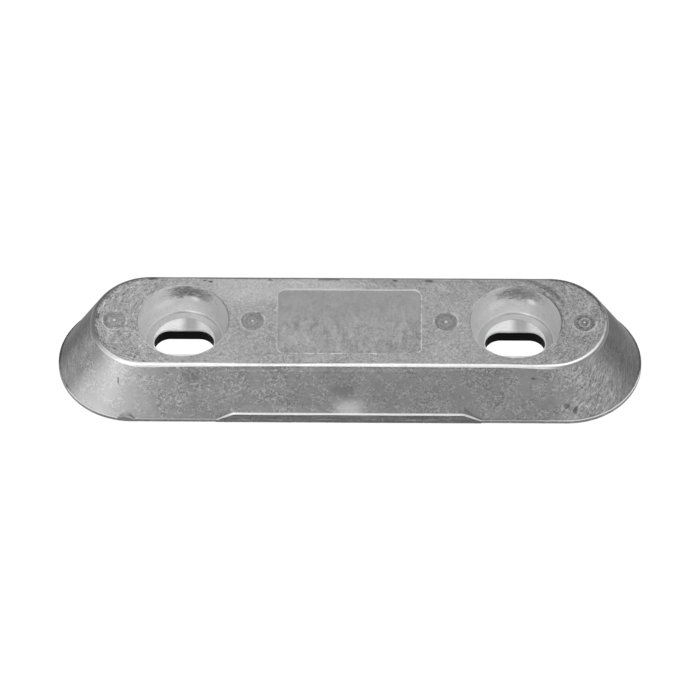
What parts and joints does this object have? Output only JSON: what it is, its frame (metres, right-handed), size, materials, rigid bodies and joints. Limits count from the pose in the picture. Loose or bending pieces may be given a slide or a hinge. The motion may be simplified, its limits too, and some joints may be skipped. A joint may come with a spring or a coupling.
{
  "type": "sacrificial anode",
  "caption": "Bolt-on hull anode: a tapered, round-ended alloy casting with cupped, slotted bolt holes lined by plastic inserts.",
  "frame": {"origin": "centre of the underside that lies against the hull", "axes": "+X along the anode through both bolt holes, +Z away from the hull, -Y towards the long side with the trimmed gate"},
  "size_m": [0.1946, 0.051, 0.022],
  "materials": {
    "cast_alloy": "as cast, grainy top with flow marks, smooth shiny bolt cups",
    "black_plastic": "smooth moulded black"
  },
  "bodies": {
    "root": {"anode_casting": "cast_alloy", "bolt_insert_left": "black_plastic", "bolt_insert_right": "black_plastic"}
  },
  "joints": []
}
